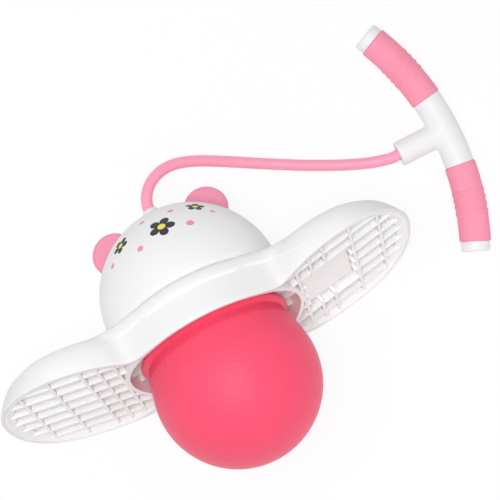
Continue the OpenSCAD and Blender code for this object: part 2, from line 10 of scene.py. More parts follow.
import bpy
import numpy as np
from bpy.props import FloatProperty, FloatVectorProperty, IntProperty, PointerProperty
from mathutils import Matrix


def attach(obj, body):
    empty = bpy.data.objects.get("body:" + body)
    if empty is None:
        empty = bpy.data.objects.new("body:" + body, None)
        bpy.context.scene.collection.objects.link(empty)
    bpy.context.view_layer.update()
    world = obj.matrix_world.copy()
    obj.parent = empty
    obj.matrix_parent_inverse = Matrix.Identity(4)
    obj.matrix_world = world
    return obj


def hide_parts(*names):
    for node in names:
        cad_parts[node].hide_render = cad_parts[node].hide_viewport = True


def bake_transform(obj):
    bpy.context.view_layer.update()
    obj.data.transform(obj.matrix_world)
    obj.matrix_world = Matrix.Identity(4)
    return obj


bl_info = {
    "name": "Jump ball",
    "version": (1, 0, 0),
    "blender": (4, 5, 0),
    "location": "View3D > Sidebar > Jump ball",
    "description": "Dresses the solids of a jump ball with smooth skins and finishes",
    "category": "Add Mesh",
}

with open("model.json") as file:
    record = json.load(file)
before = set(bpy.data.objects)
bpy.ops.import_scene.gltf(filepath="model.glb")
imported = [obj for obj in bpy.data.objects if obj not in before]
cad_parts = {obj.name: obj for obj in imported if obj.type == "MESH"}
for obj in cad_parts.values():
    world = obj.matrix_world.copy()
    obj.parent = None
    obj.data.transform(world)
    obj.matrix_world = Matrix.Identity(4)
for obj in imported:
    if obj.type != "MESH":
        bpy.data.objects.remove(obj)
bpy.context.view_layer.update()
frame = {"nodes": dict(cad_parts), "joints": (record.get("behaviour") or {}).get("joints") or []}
joints = {joint["name"]: joint for joint in frame["joints"]}

MM = 0.001
QUARTER = math.pi / 2


def length(millimetres, text):
    """A length that a user can change, given in millimetres and kept in metres."""
    return FloatProperty(name=text, default=millimetres * MM, precision=5, subtype="DISTANCE", unit="LENGTH")


def angle(degrees, text):
    """An angle that a user can change, given in degrees and kept in radians."""
    return FloatProperty(name=text, default=math.radians(degrees), subtype="ANGLE", unit="ROTATION")


def number(value, text):
    """A plain number that a user can change."""
    return FloatProperty(name=text, default=value)


def count(value, text):
    """A count that a user can change."""
    return IntProperty(name=text, default=value, min=1)


def paint(red, green, blue, text, times=1):
    """A colour, given as the eight-bit values that a screen shows, and kept linear, times a factor."""
    channels = [times * linear(value) for value in (red, green, blue)]
    return FloatVectorProperty(name=text, default=channels, subtype="COLOR", min=0, max=1)


def linear(value):
    """An eight-bit screen value as a linear one, by the sRGB curve."""
    share = value / 255
    return share / 12.92 if share < 0.04045 else ((share + 0.055) / 1.055) ** 2.4


class BallSizes(bpy.types.PropertyGroup):
    """The inflated ball and its valve."""

    radius: length(70, "Radius of the inflated ball")
    drop: length(37, "Depth of the ball's middle below the deck's opening")
    neck_in: length(9, "How much narrower the neck is than the ball")
    band_in: length(4.8, "How much narrower the band under the bead is")
    bead_r: length(2.2, "Radius of the bead round the neck")
    bead_up: length(7.0, "Height of the bead's middle above the deck's opening")
    hollow: length(2.8, "How much further in the band's upper end lies")
    hollow_h: length(11, "Height over which the band draws in")
    taper: angle(12, "Where the ball's round turns into the band")
    valve_hole: length(7.8, "Radius of the hole for the valve's seat")
    valve_low: angle(35, "How far below the waist the valve sits")
    colour: paint(253, 84, 116, "The ball's rubber")
    valve: paint(253, 84, 116, "The valve's darker rubber", times=0.9)


class DomeSizes(bpy.types.PropertyGroup):
    """The dome, its collar and its printed sprig."""

    radius: length(77.7, "Radius of the dome")
    rise: length(12.2, "Height of the dome's middle above the seam")
    wall: length(3, "Wall of the dome")
    roll: length(3.3, "How far the lower edge rolls in")
    roll_h: length(6, "Height of that roll")
    collar_h: length(8, "Height of the cord's collar")
    collar_r: length(6.8, "Radius of the collar at its tip")
    foot_r: length(15, "Radius of the collar's foot")
    cord_hole: length(5.5, "Radius of the hole for the cord")
    boss_h: length(7, "Depth of the boss inside the dome")
    boss_r: length(11, "Radius of that boss")
    petal: paint(52, 50, 54, "The printed petals")
    heart: paint(244, 226, 96, "The printed hearts of the blossoms")
    dot: paint(240, 148, 172, "The printed dots")


class EarSizes(bpy.types.PropertyGroup):
    """The two ears."""

    radius: length(19, "Radius of an ear")
    thick: length(11, "Thickness of an ear")
    rounding: length(4, "Rounding of an ear's edge")
    out: length(22, "How far an ear stands out of the dome")
    polar: angle(33.6, "Angle between an ear and the collar")
    back: angle(8, "How far an ear is set back from the side")
    colour: paint(239, 148, 173, "The ears' plastic")


class DeckSizes(bpy.types.PropertyGroup):
    """The deck's outline, walls and shoulder. What says where is measured from the axis, along the span."""

    span: length(380, "Span over both pedals")
    pedal_a: length(70.3, "Half width of a pedal")
    pedal_b: length(86.5, "Half length of a pedal")
    pedal_back: length(12.5, "How far the pedals lie behind the axis")
    heel_square: number(2.38, "Squareness of a pedal's heel end, where 2 is an ellipse")
    toe_square: number(2.1, "Squareness of a pedal's toe end")
    corner_soft: length(7, "Softness of the corner between ring and pedal")
    ring_h: length(38.7, "Depth of the ring skirt below the seam")
    ring_flare: length(4, "How much wider the skirt is than the dome")
    ring_lean: length(3, "How far the ring's wall leans in")
    skirt_wall: length(3, "Wall of the skirt")
    edge_round: length(1.2, "Rounding of the rim's edge")
    bead_out: length(1.3, "How far the bead stands out over the wall's line")
    bead_in: length(5.2, "Width of the rounded bead under the seam")
    bead_h: length(9.6, "Height of that bead")
    lip_step: length(1.6, "Height of the bead's underside")
    lip_in: length(0.8, "How far the wall under the bead lies back from its line")
    lip_from: length(56, "Where the bead's underside begins to fade")
    lip_to: length(76, "Where it has faded")
    seat_shy: length(0.2, "How far the deck's skin stays below the seam")
    bend_x: length(56, "Where the rims begin to rise")
    bend_soft: length(5, "Softness of that bend")
    rim_tilt: angle(9.6, "Rise of a pedal's rim")
    top_tilt: angle(4.6, "Rise of a pedal's top")
    top_drop: length(4.7, "How far below the seam the pedals' tops start")
    wall_lean: length(9, "How far a pedal's wall leans in")
    top_round: length(18, "Rounding of a pedal's top edge")
    full_in: length(23, "How far in from the rim a pedal's rounded wall reaches its top")
    full_square: number(2.5, "Squareness of that wall, where 2 is an ellipse")
    full_from: length(126, "Where that fullness begins to fade")
    full_to: length(172, "Where it has faded")
    full_left: number(0.4, "Share of that fullness at a pedal's outer end")
    swell_from: length(60, "Where the skin's ring turns into pedal")
    solid_from: length(46, "Where the solid's ring turns into pedal")
    swell_to: length(100, "Where the pedal is whole")
    coarse: count(12, "Skin points for each straight stretch of the solid's outline")
    proud: length(0.25, "How far the smooth skin stands out over the solid")
    colour: paint(238, 238, 239, "The white plastic")
    # Painted light: this lighter copy of the white plastic lifts the shaded pockets between the ribs under
    # the deck
    inside: paint(251, 251, 251, "The white plastic between the ribs, which the light comes through")
    clamp: paint(205, 205, 206, "The clamp ring's plastic")
    steel: FloatVectorProperty(name="Plated steel", default=(0.55, 0.56, 0.58), subtype="COLOR")


class CordSizes(bpy.types.PropertyGroup):
    """The elastic cord."""

    radius: length(5, "Radius of the cord")
    sides: count(28, "Sides of the cord's tube")
    steps: count(360, "Rings along the cord's tube")
    colour: paint(255, 160, 187, "The cord's rubber")


class HandleSizes(bpy.types.PropertyGroup):
    """The T handle, its grips and its caps."""

    curve: length(240, "Radius of the bar's curve")
    grip_from: angle(7.7, "Half angle to the start of a grip")
    grip_to: angle(24.2, "Half angle to the end of a grip")
    grip_r: length(13.8, "Radius of a grip")
    grip_wall: length(2.8, "Thickness of a grip's sleeve")
    core_r: length(13, "Radius of the bar between the grips")
    rings: count(4, "Rings round each grip")
    ring_up: length(0.55, "Height of a grip's rings")
    ring_w: length(3, "Width of a grip's rings")
    ring_pitch: length(6, "Spacing of a grip's rings")
    stem_r: length(11.1, "Radius of the stem")
    stem_len: length(46, "Length of the stem from the bar's middle line")
    stem_fillet: length(3, "Fillet between stem and bar")
    edge: length(1.4, "Rounding of the grips' and the stem's edges")
    cord_hole: length(5.5, "Radius of the hole for the cord")
    cap_r: length(12.8, "Radius of an end cap")
    cap_t: length(9, "Thickness of an end cap")
    cap_round: length(2.6, "Rounding of an end cap")
    colour: paint(250, 152, 177, "The grips' foam rubber")


class StageSizes(bpy.types.PropertyGroup):
    """The floor, the lamps and the camera."""

    floor: length(20000, "Side of the floor")
    key: number(4.9, "Power of the key lamp in watts")
    front: number(15.2, "Power of the front lamp in watts")
    fill: number(8.5, "Power of the fill lamp in watts")
    sky: number(0.475, "Strength of the even light")
    lens: number(128.36, "Focal length in millimetres")


sizes_of = {
    "ball": BallSizes,
    "dome": DomeSizes,
    "ears": EarSizes,
    "deck": DeckSizes,
    "cord": CordSizes,
    "handle": HandleSizes,
    "stage": StageSizes,
}


def sizes(name):
    """The property group of one part of the toy."""
    return getattr(bpy.context.scene, "jump_ball_" + name)


# Places


def lying():
    """The turn and the shift that lay the upright toy on its back, with its dome on the floor.

    Its lean follows from the direction in which its valve plug pulls out.
    """
    dome, axis = sizes("dome"), joints["plug_pull"]["axis"]
    tilt = math.atan2(-axis[1], -axis[2]) - sizes("ball").valve_low
    s, c = math.sin(tilt), math.cos(tilt)
    turn = np.array([[1, 0, 0], [0, -s, c], [0, -c, -s]])
    return turn, np.array([0, -dome.rise * c, dome.rise * s + dome.radius])


def lay(points):
    """Upright points, laid on the floor with the toy."""
    turn, shift = lying()
    return np.asarray(points) @ turn.T + shift


def on_axis(height):
    """A point of the toy's axis, where it lies."""
    return lay([0, 0, height])


def ball_middle():
    """Height of the ball's middle on the toy's axis."""
    return -sizes("deck").ring_h - sizes("ball").drop


def hub():
    """The point where the stem's line meets the middle line of the handle's bar."""
    return np.array(joints["handle_swivel"]["pos_m"])


# Curves and surfaces

# The shortest step along an outline, and the shortest vector that is brought to length 1
SAME_POINT = 1e-6
NO_LENGTH = 1e-12


def mix(a, b, share):
    """The value that lies a share of the way from a to b."""
    return a + (b - a) * share


def ease(share):
    """A smooth step from 0 to 1."""
    share = np.clip(share, 0, 1)
    return share * share * (3 - 2 * share)


def between(value, start, end):
    """A smooth step from 0 at a value's start to 1 at its end."""
    return ease((value - start) / (end - start))


def unit(vectors):
    """Vectors of length 1 in the same directions."""
    return vectors / np.maximum(np.linalg.norm(vectors, axis=-1, keepdims=True), NO_LENGTH)


def around(sides):
    """Angles of a full turn, in even steps."""
    return np.arange(sides) * 2 * math.pi / sides


def arc(centre, radius, start, end, steps):
    """Points of a circle from one angle to another."""
    turn = np.linspace(start, end, steps)
    return centre + radius * np.stack([np.cos(turn), np.sin(turn)], axis=1)


def bend(start, towards, end, steps):
    """Points of a curve that leaves start towards a point and arrives at end from it."""
    t = np.linspace(0, 1, steps)[:, None]
    return (1 - t) ** 2 * np.array(start) + 2 * t * (1 - t) * np.array(towards) + t**2 * np.array(end)


def join(*stretches):
    """Stretches of an outline, one after the other, with repeated points left out."""
    points = np.concatenate([np.atleast_2d(np.asarray(s, float)) for s in stretches])
    step = np.linalg.norm(np.diff(points, axis=0), axis=1)
    return points[np.r_[True, step > SAME_POINT]]


def revolve(profile, sides):
    """Rings of a profile of radius and height, carried round the z axis."""
    turn = around(sides)
    radius, height = profile[:, :1], profile[:, 1:]
    return np.stack([radius * np.cos(turn), radius * np.sin(turn), height + 0 * turn], axis=2)


def skin(rings, closed=False, capped=True):
    """The points of a surface over rings, and its faces: quads between neighbouring rings, and end caps.

    The rings may close on themselves. If not, a fan to its middle caps each end's ring, unless left off.
    """
    points = rings.reshape(-1, 3)
    index = np.arange(len(points)).reshape(rings.shape[:2])
    here = index if closed else index[:-1]
    over = np.roll(index, -1, axis=0)[: len(here)]
    quads = np.stack([here, np.roll(here, -1, axis=1), np.roll(over, -1, axis=1), over], axis=2)
    faces = [quads.reshape(-1, 4)]
    for row, order in ((0, (0, 2, 1)), (-1, (0, 1, 2))) if capped and not closed else ():
        ring = index[row]
        tips = np.full(len(ring), len(points))
        faces.append(np.stack([tips, ring, np.roll(ring, -1)], axis=1)[:, order])
        points = np.vstack([points, rings[row].mean(axis=0)])
    return points, faces


def outwards(points, faces):
    """The same faces, turned so that the signed volume between them and their middle is positive."""
    corners = np.concatenate([kind[:, :3] for kind in faces])
    middle = points.mean(axis=0)
    a, b, c = (points[corners[:, k]] - middle for k in range(3))
    volume = np.einsum("ij,ij->i", a, np.cross(b, c)).sum()
    return faces if volume > 0 else [kind[:, ::-1] for kind in faces]


def put(name, data, at=(0, 0, 0), turn=(0, 0, 0)):
    """A new object of the scene, at a place and with a turn."""
    made = bpy.data.objects.new(name, data)
    made.location = at
    made.rotation_euler = turn
    bpy.context.scene.collection.objects.link(made)
    return made


def smooth_mesh(name, points, faces, sharp=40):
    """A smooth mesh at the origin. Edges that turn by more than an angle, in degrees, are sharp."""
    mesh = bpy.data.meshes.new(name)
    mesh.from_pydata(points.tolist(), [], sum((kind.tolist() for kind in outwards(points, faces)), []))
    mesh.shade_smooth()
    mesh.set_sharp_from_angle(angle=math.radians(sharp))
    return put(name, mesh)


def piece(name, skinned, look, body, replaced=(), sharp=40):
    """A piece with a finish that rides on a body and stands for nodes."""
    made = smooth_mesh(name, *skinned, sharp)
    made.data.materials.append(kept(look))
    if body:
        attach(made, body)
    if replaced:
        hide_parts(*replaced)
    return made


def cut_away(made, tool):
    """Cuts a tool's shape out of a piece, and removes the tool."""
    cut = made.modifiers.new("cut", "BOOLEAN")
    cut.operation = "DIFFERENCE"
    cut.solver = "EXACT"
    cut.object = tool
    graph = bpy.context.evaluated_depsgraph_get()
    mesh = bpy.data.meshes.new_from_object(made.evaluated_get(graph))
    made.modifiers.clear()
    made.data = mesh
    bpy.data.objects.remove(tool)


# Finishes

# Share of the scuffs in the gloss, how far the gloss spreads round its value, and strength of the relief
SCUFF_SHARE = 0.5
GLOSS_SPREAD = (-0.05, 0.07)
RELIEF = 0.4
# What a finish has if it doesn't say otherwise
PLAIN = {"tone": 0.05, "tone_scale": 14, "specular": 0.5, "metallic": 0}
# Finishes: part and property with the colour, roughness, grain, bump in millimetres, and what else differs
FINISHES = {
    "white_satin": ("deck", "colour", 0.5, 700, 0.06, {"tone": 0.012, "specular": 0.4}),
    # A lighter copy of the white plastic, painted light for the shaded pockets and ribs under the deck
    "inside_satin": ("deck", "inside", 0.45, 700, 0.06, {"tone": 0.008}),
    "grey_satin": ("deck", "clamp", 0.5, 600, 0.1, {}),
    "screw_plated": ("deck", "steel", 0.3, 2500, 0.04, {"metallic": 1}),
    "ball_matt": ("ball", "colour", 0.38, 500, 1.9, {"tone": 0.035, "tone_scale": 22, "specular": 0.22}),
    "valve_matt": ("ball", "valve", 0.5, 1200, 0.1, {}),
    "ear_satin": ("ears", "colour", 0.42, 700, 0.06, {"tone": 0.03}),
    "cord_satin": ("cord", "colour", 0.4, 1000, 0.06, {"tone": 0.03, "tone_scale": 40}),
    "grip_matt": ("handle", "colour", 0.68, 1400, 0.3, {"tone": 0.04, "tone_scale": 60, "specular": 0.3}),
}
# A blossom, in shares of its size: petals, roundness and depth of the gaps between them, heart, soft edge
PETALS = 5
PETAL_ROUND = 0.6
PETAL_DEPTH = 0.58
HEART = 0.3
SOFT_EDGE = 0.02
# The printed sprig: polar angle from the collar, angle round the axis from the front, size in metres, kind
SPRIG = [
    (60, 3, 0.0115, "blossom"),
    (51, 36, 0.0080, "blossom"),
    (53, -33, 0.0086, "blossom"),
    (67, 21, 0.0032, "dot"),
    (47, 16, 0.0026, "dot"),
    (44, -10, 0.0023, "dot"),
    (68, -16, 0.0028, "dot"),
    (61, 43, 0.0023, "dot"),
    (64, -42, 0.0025, "dot"),
]


def feed(tree, sockets, values):
    """Gives sockets, by place or name, their links or values."""
    for name, value in dict(values).items():
        if isinstance(value, bpy.types.NodeSocket):
            tree.links.new(value, sockets[name])
        else:
            sockets[name].default_value = value


def node(tree, kind, inputs=(), **settings):
    """A node with its settings, and with values or links on its inputs."""
    made = tree.nodes.new(kind)
    for name, value in settings.items():
        setattr(made, name, value)
    feed(tree, made.inputs, inputs)
    return made


def calculate(tree, operation, *values):
    """A Math node's result."""
    return node(tree, "ShaderNodeMath", enumerate(values), operation=operation).outputs[0]


def calculate_vector(tree, operation, *values):
    """The outputs of a Vector Math node, which are its Vector and its Value."""
    return node(tree, "ShaderNodeVectorMath", enumerate(values), operation=operation).outputs


def blend_colour(tree, share, below, above):
    """A colour mixed from two by a share. A Mix node takes colours at places 6 and 7 and gives one at 2."""
    return node(tree, "ShaderNodeMix", {0: share, 6: below, 7: above}, data_type="RGBA").outputs[2]


def stretch_range(tree, value, **ends):
    """A value from one range, spread over another. The ends that aren't given are 0 and 1."""
    inputs = {name.replace("_", " ").title(): end for name, end in ends.items()}
    return node(tree, "ShaderNodeMapRange", {"Value": value, **inputs}).outputs["Result"]


def noise(tree, vector, scale, detail=2.0):
    """A noise from 0 to 1."""
    inputs = {"Vector": vector, "Scale": scale, "Detail": detail}
    return node(tree, "ShaderNodeTexNoise", inputs).outputs["Fac"]


def new_group(name, vectors, numbers, outputs):
    """An empty node group, what its named inputs give and what its named outputs take."""
    group = bpy.data.node_groups.new(name, "ShaderNodeTree")
    for label in (*vectors, *numbers, *outputs):
        kind = "NodeSocketVector" if label in vectors else "NodeSocketFloat"
        way = "OUTPUT" if label in outputs else "INPUT"
        group.interface.new_socket(name=label, in_out=way, socket_type=kind)
    return group, group.nodes.new("NodeGroupInput").outputs, group.nodes.new("NodeGroupOutput").inputs


def moulded_grain():
    """Moulded grain: a slow tone, a fine grain and faint scuffs, each from 0 to 1."""
    inputs, outputs = ("Tone Scale", "Grain Scale"), ("Tone", "Grain", "Scuff")
    group, given, out = new_group("moulded_grain", ("Vector",), inputs, outputs)
    group.links.new(noise(group, given["Vector"], given["Tone Scale"], detail=3.0), out["Tone"])
    group.links.new(noise(group, given["Vector"], given["Grain Scale"]), out["Grain"])
    drawn_out = node(group, "ShaderNodeMapping", {"Vector": given["Vector"], "Scale": (1.0, 7.0, 2.0)})
    scratch = noise(group, drawn_out.outputs[0], scale=60.0, detail=4.0)
    group.links.new(stretch_range(group, scratch, from_min=0.62, from_max=0.78), out["Scuff"])
    return group


def printed_blossom():
    """A blossom on a plane through a centre: its petals, its heart and a plain dot of its size.

    The petals' edge follows the cosine of the angle times half their number, so a gap lies between two.
    """
    inputs, outputs = ("Vector", "Centre", "Right", "Up"), ("Petals", "Heart", "Dot")
    group, given, out = new_group("printed_blossom", inputs, ("Size",), outputs)
    offset = calculate_vector(group, "SUBTRACT", given["Vector"], given["Centre"])["Vector"]
    across = calculate_vector(group, "DOT_PRODUCT", offset, given["Right"])["Value"]
    along = calculate_vector(group, "DOT_PRODUCT", offset, given["Up"])["Value"]
    reach = calculate(group, "DIVIDE", calculate_vector(group, "LENGTH", offset)["Value"], given["Size"])
    turn = calculate(group, "MULTIPLY", calculate(group, "ARCTAN2", across, along), PETALS / 2)
    lobe = calculate(group, "ABSOLUTE", calculate(group, "COSINE", turn))
    lobe = calculate(group, "POWER", lobe, PETAL_ROUND)
    petal = calculate(group, "MULTIPLY_ADD", lobe, PETAL_DEPTH, 1 - PETAL_DEPTH)
    for name, edge in (("Petals", petal), ("Heart", HEART), ("Dot", 1.0)):
        inside = calculate(group, "SUBTRACT", edge, reach)
        group.links.new(stretch_range(group, inside, from_min=-SOFT_EDGE, from_max=SOFT_EDGE), out[name])
    return group


def use_group(tree, make, inputs):
    """The outputs of a node group that is made once, and is placed with its own values."""
    group = bpy.data.node_groups.get(make.__name__) or make()
    return node(tree, "ShaderNodeGroup", inputs, node_tree=group).outputs


def shade(colour, times):
    """A colour made darker or lighter, with an opaque alpha."""
    return [min(1.0, channel * times) for channel in colour] + [1.0]


def material(name):
    """A new material, its tree, its surface shader and its Object coordinates."""
    made = bpy.data.materials.new(name)
    made.use_nodes = True
    tree = made.node_tree
    place = node(tree, "ShaderNodeTexCoord").outputs["Object"]
    return made, tree, tree.nodes["Principled BSDF"], place


def finish(name, row):
    """A finish from a row of the table: a slow tone in its colour, and grain in its gloss and relief.

    It gives the material, its tree, its shader, its Object coordinates and its toned colour.
    """
    part, key, rough, grain, bump, others = row
    colour, look = getattr(sizes(part), key), {**PLAIN, **others}
    made, tree, shader, place = material(name)
    inputs = {"Vector": place, "Tone Scale": look["tone_scale"], "Grain Scale": grain}
    worn = use_group(tree, moulded_grain, inputs)
    dark, light = shade(colour, 1 - look["tone"]), shade(colour, 1 + look["tone"])
    tint = blend_colour(tree, worn["Tone"], dark, light)
    mottle = calculate(tree, "MULTIPLY_ADD", worn["Scuff"], SCUFF_SHARE, worn["Grain"])
    low, high = (rough + shift for shift in GLOSS_SPREAD)
    gloss = stretch_range(tree, mottle, to_min=low, to_max=high)
    inputs = {"Height": worn["Grain"], "Strength": RELIEF, "Distance": bump * MM}
    relief = node(tree, "ShaderNodeBump", inputs).outputs["Normal"]
    feed(tree, shader.inputs, {"Base Color": tint, "Roughness": gloss, "Normal": relief})
    feed(tree, shader.inputs, {"Specular IOR Level": look["specular"], "Metallic": look["metallic"]})
    return made, tree, shader, place, tint


def dome_printed():
    """The dome's white plastic, printed with a sprig of blossoms and dots."""
    dome = sizes("dome")
    made, tree, shader, place, colour = finish("dome_printed", FINISHES["white_satin"])
    turn = lying()[0]
    for polar, round_axis, size, kind in SPRIG:
        p, r = math.radians(polar), math.radians(round_axis)
        out = turn @ np.array([math.sin(p) * math.sin(r), -math.sin(p) * math.cos(r), math.cos(p)])
        right = unit(np.cross(out, turn[:, 2]))
        centre = on_axis(dome.rise) + dome.radius * out
        inputs = {"Vector": place, "Centre": centre, "Right": right, "Up": np.cross(out, right), "Size": size}
        printed = use_group(tree, printed_blossom, inputs)
        inks = {"Dot": dome.dot} if kind == "dot" else {"Petals": dome.petal, "Heart": dome.heart}
        for name, ink in inks.items():
            colour = blend_colour(tree, printed[name], colour, shade(ink, 1))
    tree.links.new(colour, shader.inputs["Base Color"])
    return made


def kept(name):
    """A material, made at its first use: the dome's and the floor's by functions, the rest from the table."""
    if name in bpy.data.materials:
        return bpy.data.materials[name]
    own = {"dome_printed": dome_printed, "floor_paper": floor_paper}
    return own[name]() if name in own else finish(name, FINISHES[name])[0]


def dress(look, *names):
    """Gives solids of the frame their finish."""
    for name in names:
        solid = frame["nodes"][name]
        solid.data.materials.clear()
        solid.data.materials.append(kept(look))


# The deck

# Steps round the rim's edge and the lip, up the wall, and round the shoulder
EDGE_STEPS = 6
WALL_STEPS = 12
SHOULDER_STEPS = 30
# Steps round half of the outline, halvings that find its edge, and the step that finds its direction
DECK_HALF_STEPS = 528
HALVINGS = 40
SLOPE_STEP = 0.01 * MM
# How far the skin's ends go into the solid, how far up inside the rim it starts, and how far in it ends
TUCK = 0.1 * MM
RIM_START = 0.6 * MM
TOP_TUCK = 1.5 * MM
# How much sooner than the rest of the pedal its plain wall comes, and how the shoulder's rings draw together
SOON = 1.5
SHOULDER_CROWD = 1.4
# Shifts that spread what stands out to its neighbours, shifts that smooth it, and its fade at the top
SPREAD = (1, 2, 4, 8)
SMOOTH = (1, 2, 4, 6)
FADE_RINGS = 8
FADE_REST = 0.25


def deck_gap(x, y):
    """How far a point lies outside the deck's outline: the soft least of its gaps to a ring and a pedal."""
    deck = sizes("deck")
    ring = np.hypot(x, y) - sizes("dome").radius - deck.ring_flare
    square = np.where(y > deck.pedal_back, deck.heel_square, deck.toe_square)
    u = np.abs(x - deck.span / 2 + deck.pedal_a) / deck.pedal_a
    v = np.abs(y - deck.pedal_back) / deck.pedal_b
    pedal = ((u**square + v**square) ** (1 / square) - 1) * deck.pedal_a
    least = np.minimum(ring, pedal)
    soft = deck.corner_soft
    return least - soft * np.log(np.exp((least - ring) / soft) + np.exp((least - pedal) / soft))


def deck_outline():
    """The deck's outline and its outward direction.

    Spokes fan out from the line between the axis and the right pedal's middle, and each is halved down to
    where the gap turns positive. The direction is the gap's slope. The left half mirrors the right one.
    """
    deck = sizes("deck")
    t = np.linspace(-1, 1, DECK_HALF_STEPS + 1)
    turn = math.pi / 4 * (t + np.sin(QUARTER * t))
    way = np.stack([np.cos(turn), np.sin(turn)], axis=1)
    start = np.cos(turn)[:, None] * np.array([deck.span / 2 - deck.pedal_a, deck.pedal_back])
    low, high = np.zeros(len(t)), np.full(len(t), deck.span)
    for _ in range(HALVINGS):
        reach = (low + high) / 2
        spot = start + reach[:, None] * way
        inside = deck_gap(spot[:, 0], spot[:, 1]) < 0
        low, high = np.where(inside, reach, low), np.where(inside, high, reach)
    spot = start + low[:, None] * way
    x, y = spot.T
    slope_x = deck_gap(x + SLOPE_STEP, y) - deck_gap(x - SLOPE_STEP, y)
    slope_y = deck_gap(x, y + SLOPE_STEP) - deck_gap(x, y - SLOPE_STEP)
    out = unit(np.stack([slope_x, slope_y], axis=1))
    mirror = np.array([-1, 1])
    return np.vstack([spot, spot[-2:0:-1] * mirror]), np.vstack([out, out[-2:0:-1] * mirror])


def deck_rim(x):
    """Height of the deck's rim: level under the ring, and past a soft bend rising towards a pedal's end."""
    deck = sizes("deck")
    rise = np.log1p(np.exp((np.abs(x) - deck.bend_x) / deck.bend_soft))
    return -deck.ring_h + math.tan(deck.rim_tilt) * deck.bend_soft * rise


def deck_top(x, swell):
    """Height of the deck's top: just under the seam on the ring, and a rising plane on the pedals."""
    deck = sizes("deck")
    pedal = -deck.top_drop + math.tan(deck.top_tilt) * (np.abs(x) - deck.bend_x)
    return mix(-deck.seat_shy, pedal, swell)


def deck_rings():
    """Rings of the deck's outer skin: round the rim, up the wall, over the lip and round the shoulder.

    Each ring is the outline, moved in by an inset, at a height. Round the deck's ring the wall leans in to a
    lip under a rounded bead. Along the pedals it goes straight up to where it touches the rounded shoulder,
    or bulges as a superellipse where that stands further out. Smooth steps along x lead from one to another.
    """
    deck = sizes("deck")
    proud = deck.proud
    edge, out = deck_outline()
    off_axis = np.abs(edge[:, 0])
    swell = between(off_axis, deck.swell_from, deck.swell_to)
    solid_swell = between(off_axis, deck.solid_from, deck.swell_to)
    soon = ease(SOON * swell)
    plain = np.maximum(soon, between(off_axis, deck.lip_from, deck.lip_to))
    filled = soon * mix(1, deck.full_left, between(off_axis, deck.full_from, deck.full_to))
    wall_in = mix(deck.ring_lean, deck.wall_lean, swell)
    belly_in = wall_in - mix(deck.bead_out, proud, swell)
    high = mix(deck.bead_h, deck.top_round, swell)
    wide = wall_in + mix(deck.bead_in, deck.top_round, swell) - belly_in
    step = mix(deck.lip_step, deck.edge_round, swell)
    above = deck_top(edge[:, 0], swell) - deck_rim(edge[:, 0]) - deck.edge_round

    def ring(inset, level, up=0):
        """The outline moved in by an inset, above a level that is a function of x."""
        spot = edge - np.broadcast_to(inset, swell.shape)[:, None] * out
        return np.column_stack([spot, level(spot[:, 0]) + up])

    def top(x):
        """Height of the skin's top."""
        return deck_top(x, swell)

    def fuller(inset, up):
        """An inset at a height above the rim's edge, or the superellipse's where that stands further out."""
        share = np.clip(up / above, 0, 1) ** deck.full_square
        full = (deck.full_in + proud) * (1 - (1 - share) ** (1 / deck.full_square)) - proud
        return mix(inset, np.minimum(inset, full), filled)

    rings = [
        ring(deck.skirt_wall - TUCK, deck_rim, RIM_START),
        ring(deck.skirt_wall - 2 * TUCK, deck_rim, -proud / 2),
    ]
    bulge = deck.edge_round + proud
    for turn in np.linspace(0, QUARTER, EDGE_STEPS):
        inset, up = deck.edge_round - bulge * math.sin(turn), deck.edge_round - bulge * math.cos(turn)
        rings.append(ring(inset, deck_rim, up))
    foot = rings[-1][:, 2]

    turns = QUARTER * (1 - np.linspace(1, 0, SHOULDER_STEPS) ** SHOULDER_CROWD)
    drops = high * (1 - np.sin(turns))[:, None]
    shoulder_up = above - drops
    shoulder_in = belly_in + wide * (1 - np.cos(turns))[:, None]
    slope = (shoulder_in + proud) / shoulder_up
    straight = np.arange(SHOULDER_STEPS)[:, None] <= slope.argmin(axis=0)
    wall = slope.min(axis=0)
    shoulder_in = mix(shoulder_in, np.where(straight, wall * shoulder_up - proud, shoulder_in), plain)
    shoulder_in = fuller(shoulder_in, shoulder_up)

    under_up = above - high - step
    under_in = mix(wall_in + deck.lip_in - proud, wall * under_up - proud, plain)
    for share in np.linspace(0, 1, WALL_STEPS)[1:]:
        inset = fuller(mix(-proud, under_in, share), share * under_up)
        rings.append(ring(inset, lambda x: mix(foot, top(x) - high - step, share)))
    for turn in np.linspace(0, QUARTER, EDGE_STEPS)[1:-1]:
        lip_in = mix(inset, shoulder_in[0], mix(math.sin(turn), 1 - math.cos(turn), plain))
        rings.append(ring(lip_in, top, -high - step * math.cos(turn)))
    for drop, inset in zip(drops, shoulder_in):
        rings.append(ring(inset, top, TUCK - drop))

    solid_in = mix(deck.ring_lean + deck.bead_in, deck.wall_lean + deck.top_round, solid_swell)
    tuck_in = np.maximum(solid_in, belly_in + wide) + TOP_TUCK
    rings.append(ring(tuck_in, lambda x: deck_top(x, solid_swell), -TUCK))
    return over_chords(np.array(rings), deck.coarse)


def beside(values, shift):
    """The values that lie a shift before and a shift after each one on its ring."""
    return np.roll(values, shift, axis=1), np.roll(values, -shift, axis=1)


def over_chords(rings, step):
    """The rings, moved out smoothly wherever the solid's chords, a step apart, would lie outside them.

    Out is across a point's ring and across its column. What a chord stands out is spread over its neighbours,
    smoothed, and faded towards the last rings.
    """
    columns = rings.shape[1]
    share = (np.arange(columns) % step / step)[None, :, None]
    start = np.arange(columns) // step * step
    chord = mix(rings[:, start], rings[:, (start + step) % columns], share)
    before, after = beside(rings, 1)
    normal = unit(np.cross(after - before, np.gradient(rings, axis=0)))
    outside = np.maximum(((chord - rings) * normal).sum(axis=2), 0)
    for shift in SPREAD:
        outside = np.maximum.reduce([outside, *beside(outside, shift)])
    for shift in SMOOTH:
        outside = sum(beside(outside, shift), 2 * outside) / 4
    fade = np.clip(np.arange(len(rings), 0, -1) / FADE_RINGS - FADE_REST, 0, 1)[:, None]
    return rings + normal * (outside * fade)[..., None]


